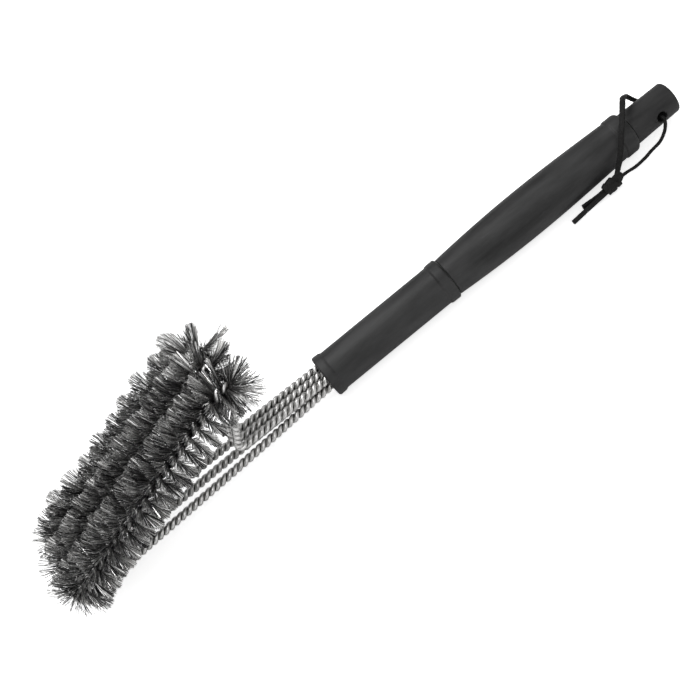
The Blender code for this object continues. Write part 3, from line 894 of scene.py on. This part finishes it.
def make_strand(node, path, way, material):
    """One round wire of a frame, twisted round its twin."""
    distance = np.arange(0.0, path.length, STRAND_STEP)
    centre, _, _, across = path.at(distance)
    outward = across * way
    strand = centre + outward * path.strand_offset(distance)
    tangent = unit(np.gradient(strand, axis=0))
    outward = unit(outward - tangent * dots(outward, tangent))
    around = np.cross(tangent, outward)
    turns = turns_round(STRAND_SIDES)
    cosines, sines = np.cos(turns), np.sin(turns)
    ring = outward[:, None] * cosines[None, :, None] + around[:, None] * sines[None, :, None]
    points = (strand[:, None] + ring * STRAND_RADIUS).reshape(-1, 3)
    wire = add_mesh(node + "_strand", points, swept_faces(len(strand), STRAND_SIDES), material)
    stand_for(wire, node)
    count = len(distance)
    place = (np.tile(cosines, count), np.repeat(distance, STRAND_SIDES), np.tile(sines, count))
    set_attribute(wire, "wire_place", np.stack(place, axis=1), "FLOAT_VECTOR")
    # Mask for the painted shade where a strand faces its twin: 1 there, 0 on its outer side.
    set_attribute(wire, "crevice", np.tile((1.0 - cosines) / 2, count))


# ---- Bristles ----


def rod_obstacles(paths):
    """(points, tangents) of every stretch of frame that carries no bristles."""
    points, tangents = [], []
    for path in paths.values():
        samples = np.arange(0.0, path.length, OBSTACLE_STEP)
        bare = (samples < path.core_start - BARE_MARGIN) | (samples > path.core_end + BARE_MARGIN)
        samples = samples[bare & (path.sample(path.points, samples)[:, 0] < MOUTH_X)]
        points.append(path.sample(path.points, samples))
        tangents.append(unit(path.sample(path.tangents, samples)))
    return np.concatenate(points), np.concatenate(tangents)


def rod_push(root, direction, reach, obstacles):
    """(where along the bristle, sideways move) that take each bristle past the rod it would hit first."""
    points, tangents = obstacles
    offset = points[None] - root[:, None]
    ahead = np.sum(offset * direction[:, None], axis=-1)
    away = np.linalg.norm(offset - ahead[..., None] * direction[:, None], axis=-1)
    away = np.where((ahead > FREE_ROOT) & (ahead < reach[:, None] + TIP_MARGIN), away, np.inf)
    nearest = np.argmin(away, axis=1)
    rows = np.arange(len(root))
    hit = away[rows, nearest] < ROD_CLEARANCE
    sideways = unit(np.cross(tangents[nearest], direction) + NO_ZERO)
    signed = np.sum(offset[rows, nearest] * sideways, axis=-1)
    move = np.where(hit, np.maximum(ROD_CLEARANCE - np.abs(signed), 0.0), 0.0)
    move = -np.where(signed < 0, -1.0, 1.0) * move
    return ahead[rows, nearest], sideways * move[:, None]


def bristle_half(root, axes, reach, angles, obstacles):
    """Points of one half of each bristle, from its root to its tip, bent round any rod in its way."""
    tangent, along, across = axes
    around, lean, curl_around, curl_along = angles
    shares = np.linspace(0.0, 1.0, BRISTLE_STATIONS // 2 + 1)[1:]
    points = []
    for share in shares:
        turn = (around * share ** TURN_GROWTH + curl_around * share ** CURL_GROWTH)[:, None]
        tilt = (lean * share ** LEAN_GROWTH + curl_along * share ** CURL_GROWTH)[:, None]
        direction = unit(along * np.cos(turn) + across * np.sin(turn))
        direction = direction * np.cos(tilt) + tangent * np.sin(tilt)
        points.append(root + direction * (reach * share)[:, None])
    points = np.stack(points, axis=1)
    for _ in range(PUSH_ROUNDS):
        direction = unit(points[:, -1] - root)
        where, move = rod_push(root, direction, reach, obstacles)
        distances = reach[:, None] * shares[None]
        growth = (distances / np.maximum(where, LEAST_PUSH_DISTANCE)[:, None]) ** PUSH_GROWTH
        points = points + move[:, None] * growth[..., None]
    return points


def end_nearness(path, distance, length):
    """How close each bristle is to the near end and to the tip end of its row, from 0 to 1."""
    near = np.exp(-np.maximum(distance - path.core_start + NEAR_OVERRUN, 0.0) / length)
    tip = np.exp(-np.maximum(path.core_end + TIP_OVERRUN - distance, 0.0) / length)
    return near, tip


def outer_share(direction):
    """1 for bristles that point outwards and down on the left side, 0 for the others."""
    return np.clip(direction @ np.array(SHAG_WAY), 0.0, 1.0)


def end_lean(path, distance, direction):
    """How far bristles fall over beside the ends of their row, where nothing holds them up."""
    near, tip = end_nearness(path, distance, END_LEAN_LENGTH)
    return -NEAR_LEAN * near + (TIP_LEAN - (TIP_LEAN + TIP_SPLAY) * outer_share(direction)) * tip


def drift(rng, distance, amount, length=TUFT_LENGTH):
    """A value that wanders along the row, so that neighbouring bristles are alike."""
    knots = np.arange(distance.min(), distance.max() + length, length)
    return np.interp(distance, knots, rng.normal(0.0, amount, len(knots)))


def shag(rng, name, path, distance, direction):
    """Extra length of ragged bristles: all round the near corner, and the outer lower ones at the tip."""
    near, tip = end_nearness(path, distance, SHAG_LENGTH)
    ragged = rng.uniform(0.0, 1.0, len(distance))
    outer = TIP_SHAG * tip * outer_share(direction)
    return NEAR_SHAG[name] * near * ragged + outer * (LEAST_TIP_SHAG + (1 - LEAST_TIP_SHAG) * ragged)


def bristle_places(rng, path, count):
    """Distances of the bristles' roots: evenly spread, and closer together round the near corner."""
    start = path.core_start - NEAR_OVERRUN
    marks = [start, path.core_start, path.core_end + TIP_OVERRUN]
    shares = np.array([0.0, NEAR_OVERRUN * NEAR_DENSITY, path.core_end + TIP_OVERRUN - path.core_start])
    shares = np.cumsum(shares) / shares.sum()
    return np.interp((np.arange(count) + rng.uniform(0.0, 1.0, count)) / count, shares, marks)


def bristle_angles(rng, name, path, distance, direction):
    """(turn about the frame, lean along it, curl about it, curl along it) of one half of each bristle."""
    count = len(distance)
    nearness = np.maximum(*end_nearness(path, distance, END_LEAN_LENGTH))
    turn = rng.normal(0.0, SPREAD_AROUND, count) + drift(rng, distance, TUFT_TURN[name])
    lean = rng.normal(0.0, SPREAD_ALONG[name], count) + drift(rng, distance, TUFT_LEAN[name])
    lean += end_lean(path, distance, direction) * rng.uniform(*LEAN_VARIETY, count)
    lean += rng.normal(0.0, END_SPREAD, count) * nearness
    curl_around = rng.normal(0.0, CURL_AROUND, count)
    curl_along = rng.normal(0.0, CURL_ALONG[name], count)
    return turn, lean, curl_around, curl_along


def bristle_reach(rng, name, path, distance, direction, way):
    """The length of one half of each bristle."""
    reach = BRISTLE_RADIUS * (1 + rng.normal(0.0, LENGTH_SPREAD, len(distance))) + way * OFF_CENTRE[name]
    reach = reach + drift(rng, distance, TUFT_REACH[name]) + shag(rng, name, path, distance, direction)
    return np.clip(reach, *REACH_LIMITS)


def bristle_tubes(rng, line, tangent):
    """(points, faces) of a thin rod round each line, turned about it at random."""
    heading = unit(np.gradient(line, axis=1))
    first = unit(tangent[:, None] - heading * dots(tangent[:, None], heading))
    second = np.cross(heading, first)
    turn = rng.uniform(0.0, math.tau, len(line))[:, None, None, None]
    turn = turn + turns_round(BRISTLE_SIDES)[None, None, :, None]
    ring = first[:, :, None] * np.cos(turn) + second[:, :, None] * np.sin(turn)
    points = (line[:, :, None] + ring * BRISTLE_WIDTH / math.sqrt(3)).reshape(-1, 3)
    pattern = swept_faces(BRISTLE_STATIONS, BRISTLE_SIDES)
    starts = (np.arange(len(line)) * BRISTLE_STATIONS * BRISTLE_SIDES)[:, None, None]
    quads = np.array(pattern[:-2])[None] + starts
    caps = np.array(pattern[-2:])[None] + starts
    return points, quads.reshape(-1, 4).tolist() + caps.reshape(-1, 3).tolist()


def make_bristles(name, path, obstacles, material):
    """One row of bristles, each with its own tone for the material."""
    rng = np.random.default_rng(SEEDS[name])
    count = BRISTLES_PER_ROW
    distance = bristle_places(rng, path, count)
    root, tangent, along, across = path.at(distance)
    root = root + across * rng.uniform(-1.0, 1.0, (count, 1)) * BUNDLE_HALF_THICKNESS
    halves = []
    for way in (1, -1):
        angles = bristle_angles(rng, name, path, distance, along * way)
        reach = bristle_reach(rng, name, path, distance, along * way, way)
        halves.append(bristle_half(root, (tangent, along * way, across * way), reach, angles, obstacles))
    line = np.concatenate([halves[1][:, ::-1], root[:, None], halves[0]], axis=1)
    points, faces = bristle_tubes(rng, line, tangent)
    node = name + "_bristles"
    row = add_mesh(node + "_wires", points, faces, material, BRISTLE_SHARP_ANGLE)
    stand_for(row, node)
    # Random tone per bristle, whose dark and bright ends are painted shade and painted glints.
    tone = TONE_MIDDLE + drift(rng, distance, TONE_DRIFT, GLINT_LENGTH) + rng.normal(0.0, TONE_SPREAD, count)
    set_attribute(row, "tone", np.repeat(np.clip(tone, 0.0, 1.0), BRISTLE_STATIONS * BRISTLE_SIDES))
    # Reach share, 0 at the root and 1 at each tip: the mask for the painted shade near the roots.
    share = np.abs(np.linspace(-1.0, 1.0, BRISTLE_STATIONS))
    set_attribute(row, "reach", np.tile(np.repeat(share, BRISTLE_SIDES), count))


def make_head(wire_material, bristle_material):
    """The three wire frames and their rows of bristles."""
    paths = {name: FramePath(side) for name, side in SIDES.items()}
    obstacles = rod_obstacles(paths)
    for name, path in paths.items():
        make_strand(name + "_wire_a", path, 1, wire_material)
        make_strand(name + "_wire_b", path, -1, wire_material)
        make_bristles(name, path, obstacles, bristle_material)


# ---- Lace ----


def smooth_curve(places, closed):
    """Points of a Catmull-Rom curve through places measured from the mouth, about evenly spaced."""
    points = [Vector((MOUTH_X + x, y, z)) for x, y, z in places]
    count = len(points)
    result = []
    for index in range(count if closed else count - 1):
        first = points[index]
        second = points[(index + 1) % count]
        before = points[index - 1] if closed or index > 0 else first - (second - first)
        after = points[(index + 2) % count] if closed or index + 2 < count else second + (second - first)
        steps = max(1, round((second - first).length / LACE_STEP))
        for step in range(steps):
            t = step / steps
            result.append(0.5 * (
                2 * first
                + (second - before) * t
                + (2 * before - 5 * first + 4 * second - after) * t ** 2
                + (3 * first - before - 3 * second + after) * t ** 3
            ))
    if not closed:
        result.append(points[-1])
    return np.array([tuple(point) for point in result])


def squared(values):
    """Sines or cosines drawn out towards 1 and -1, which makes a circle squarer."""
    return np.sign(values) * np.abs(values) ** LACE_SQUARENESS


def lace_rings(centres, closed, wide_axis=(0.0, 0.0, 1.0), rng=None, widths=((0.0, LACE_WIDTH),)):
    """Rings of a flat strip along a curve. Its width starts near wide_axis and is carried without spin."""
    if closed:
        padded = np.concatenate([centres[-1:], centres, centres[:1]])
        tangents = unit(padded[2:] - padded[:-2])
    else:
        tangents = unit(np.gradient(centres, axis=0))
    turns = turns_round(LACE_SIDES)
    wide, thick = squared(np.cos(turns)), squared(np.sin(turns))
    width_axis = np.array(wide_axis, float)
    shares, sizes = np.array(widths).T
    sizes = np.interp(np.linspace(0.0, 1.0, len(centres)), shares, sizes)
    rings = []
    for centre, tangent, width in zip(centres, tangents, sizes):
        width_axis = unit(width_axis - tangent * (width_axis @ tangent))
        thick_axis = np.cross(tangent, width_axis)
        uneven = 1.0 + rng.normal(0.0, LACE_UNEVENNESS) if rng is not None else 1.0
        rings.append(
            centre
            + np.outer(wide, width_axis) * width / 2 * uneven
            + np.outer(thick, thick_axis) * LACE_THICKNESS / 2
        )
    return rings


def strip_faces(rings, closed):
    """Faces of a strip. A closed one is joined end to end where its first and last rings match best."""
    if not closed:
        return swept_faces(len(rings), LACE_SIDES)
    faces = ring_faces(len(rings), LACE_SIDES)
    shift = int(np.argmin(np.linalg.norm(rings[-1] - rings[0][0], axis=1)))
    last = (len(rings) - 1) * LACE_SIDES
    for index in range(LACE_SIDES):
        after = (index + 1) % LACE_SIDES
        ends = last + (index + shift) % LACE_SIDES, last + (after + shift) % LACE_SIDES
        faces.append([*ends, after, index])
    return faces


def knot_turns():
    """The bands of lace that make the knot: three wraps round the strands, and a small ear."""
    knot = np.array(KNOT_CENTRE)
    axis = unit(np.array(KNOT_AXIS))
    depth = np.array((0.0, 1.0, 0.0))
    side = np.cross(depth, axis)
    turn = np.linspace(0.0, math.tau * KNOT_OVERLAP, KNOT_STEPS)[:, None]
    bands = []
    for shift, slant, radius in KNOT_BANDS:
        across = side * radius * np.cos(turn) + depth * KNOT_DEPTH * np.sin(turn)
        line = knot + (MOUTH_X, 0.0, 0.0) + axis * (shift + slant * np.cos(turn)) + across
        bands.append(lace_rings(line, False, tuple(axis)))
    ear = smooth_curve([knot + axis * x + depth * y + side * z for x, y, z in KNOT_EAR], False)
    return bands + [lace_rings(ear, False, tuple(side))]


def roughen(obj, scale, amount):
    """Moves each point of a mesh in or out by smooth noise."""
    normals = [vertex.normal.copy() for vertex in obj.data.vertices]
    for vertex, normal in zip(obj.data.vertices, normals):
        vertex.co += normal * noise.noise(vertex.co * scale) * amount


def make_lace(material):
    """The lace: a closed loop, two tails and a knot, grown into one skin and roughened."""
    rng = np.random.default_rng(LACE_SEED)
    strips = [(lace_rings(smooth_curve(LACE_LOOP, True), True, rng=rng, widths=LOOP_WIDTHS), True)]
    for tail in (SHORT_TAIL, LONG_TAIL):
        strips.append((lace_rings(smooth_curve(tail, False), False, rng=rng), False))
    strips += [(band, False) for band in knot_turns()]
    points, faces = [], []
    for rings, closed in strips:
        start = len(points)
        points += [point for ring in rings for point in ring]
        faces += [[start + corner for corner in face] for face in strip_faces(rings, closed)]
    lace = add_mesh("hang_lace_cord", points, faces, material)
    stand_for(lace, "hang_lace", body="hang_lace")
    remesh = lace.modifiers.new("one_skin", "REMESH")
    remesh.mode = "VOXEL"
    remesh.voxel_size = LACE_VOXEL
    remesh.use_smooth_shade = True
    apply_modifiers(lace)
    roughen(lace, LACE_ROUGH_SCALE, LACE_ROUGHNESS)


# ---- Stage ----


def add_light(name, target, direction, distance, size, power):
    """A square soft light that faces the target from a direction."""
    light = bpy.data.lights.new(name, "AREA")
    light.shape = "SQUARE"
    light.size = size
    light.energy = power
    obj = bpy.data.objects.new(name, light)
    towards = Vector(direction).normalized()
    obj.location = target + towards * distance
    obj.rotation_euler = towards.to_track_quat("Z", "Y").to_euler()
    bpy.context.scene.collection.objects.link(obj)


def add_floor():
    """A wide square just under the brush."""
    half = FLOOR_HALF_SIZE
    z = CAD_BOX[0].z - FLOOR_GAP
    corners = [(-half, -half, z), (half, -half, z), (half, half, z), (-half, half, z)]
    add_mesh("floor", corners, [(0, 1, 2, 3)], pale_floor())


def add_world():
    """A sky brighter overhead than at the horizon, and plain white to the camera."""
    world = bpy.data.worlds.new("studio")
    bpy.context.scene.world = world
    world.use_nodes = True
    tree = world.node_tree
    coordinates = tree.nodes.new("ShaderNodeTexCoord")
    split = tree.nodes.new("ShaderNodeSeparateXYZ")
    brightness = tree.nodes.new("ShaderNodeMapRange")
    brightness.inputs["To Min"].default_value = SKY_DIM
    brightness.inputs["To Max"].default_value = SKY_BRIGHT
    tree.links.new(coordinates.outputs["Generated"], split.inputs[0])
    tree.links.new(split.outputs["Z"], brightness.inputs["Value"])
    seen = tree.nodes.new("ShaderNodeLightPath").outputs["Is Camera Ray"]
    strength = tree.nodes.new("ShaderNodeMath")
    strength.operation = "MAXIMUM"
    tree.links.new(brightness.outputs["Result"], strength.inputs[0])
    tree.links.new(seen, strength.inputs[1])
    tree.links.new(strength.outputs[0], tree.nodes["Background"].inputs["Strength"])
    tree.nodes["Background"].inputs["Color"].default_value = (1.0, 1.0, 1.0, 1.0)


def add_camera():
    """Looks down on the left side of the brush, rolled so that the handle rises to the upper right."""
    depth = Vector((0.0, -math.cos(VIEW_DOWN), -math.sin(VIEW_DOWN)))
    towards_camera = Vector((0.0, -math.sin(VIEW_DOWN), math.cos(VIEW_DOWN)))
    right = Vector((math.cos(VIEW_ROLL), 0.0, 0.0)) + depth * math.sin(VIEW_ROLL)
    up = Vector((math.sin(VIEW_ROLL), 0.0, 0.0)) - depth * math.cos(VIEW_ROLL)
    data = bpy.data.cameras.new("camera")
    data.lens = CAMERA_FOCAL
    camera = bpy.data.objects.new("camera", data)
    mouth = Vector((MOUTH_X, 0.0, 0.0))
    place = mouth + right * CAMERA_OFFSET[0] + up * CAMERA_OFFSET[1] + towards_camera * CAMERA_OFFSET[2]
    camera.matrix_world = Matrix((
        (right.x, up.x, towards_camera.x, place.x),
        (right.y, up.y, towards_camera.y, place.y),
        (right.z, up.z, towards_camera.z, place.z),
        (0.0, 0.0, 0.0, 1.0),
    ))
    bpy.context.scene.collection.objects.link(camera)
    bpy.context.scene.camera = camera


def make_stage():
    """Adds the floor, sky, lights and camera."""
    centre = (CAD_BOX[0] + CAD_BOX[1]) / 2
    add_floor()
    add_world()
    add_light("key_light", centre, **KEY_LIGHT)
    add_light("front_light", centre, **FRONT_LIGHT)
    add_camera()
    bpy.context.scene.view_settings.view_transform = "Standard"


def build():
    """Makes every piece, then the stage."""
    plastic = black_plastic()
    plug = plug_plastic()
    make_front_sleeve(plastic)
    make_grip_sleeve(plastic)
    make_hang_end(plastic)
    make_plug("rod_guide_plug", plug)
    make_plug("rod_anchor_plug", plug)
    make_head(steel_wire(), bristle_steel())
    make_lace(lace_leather())
    make_stage()


build()
bpy.context.view_layer.update()
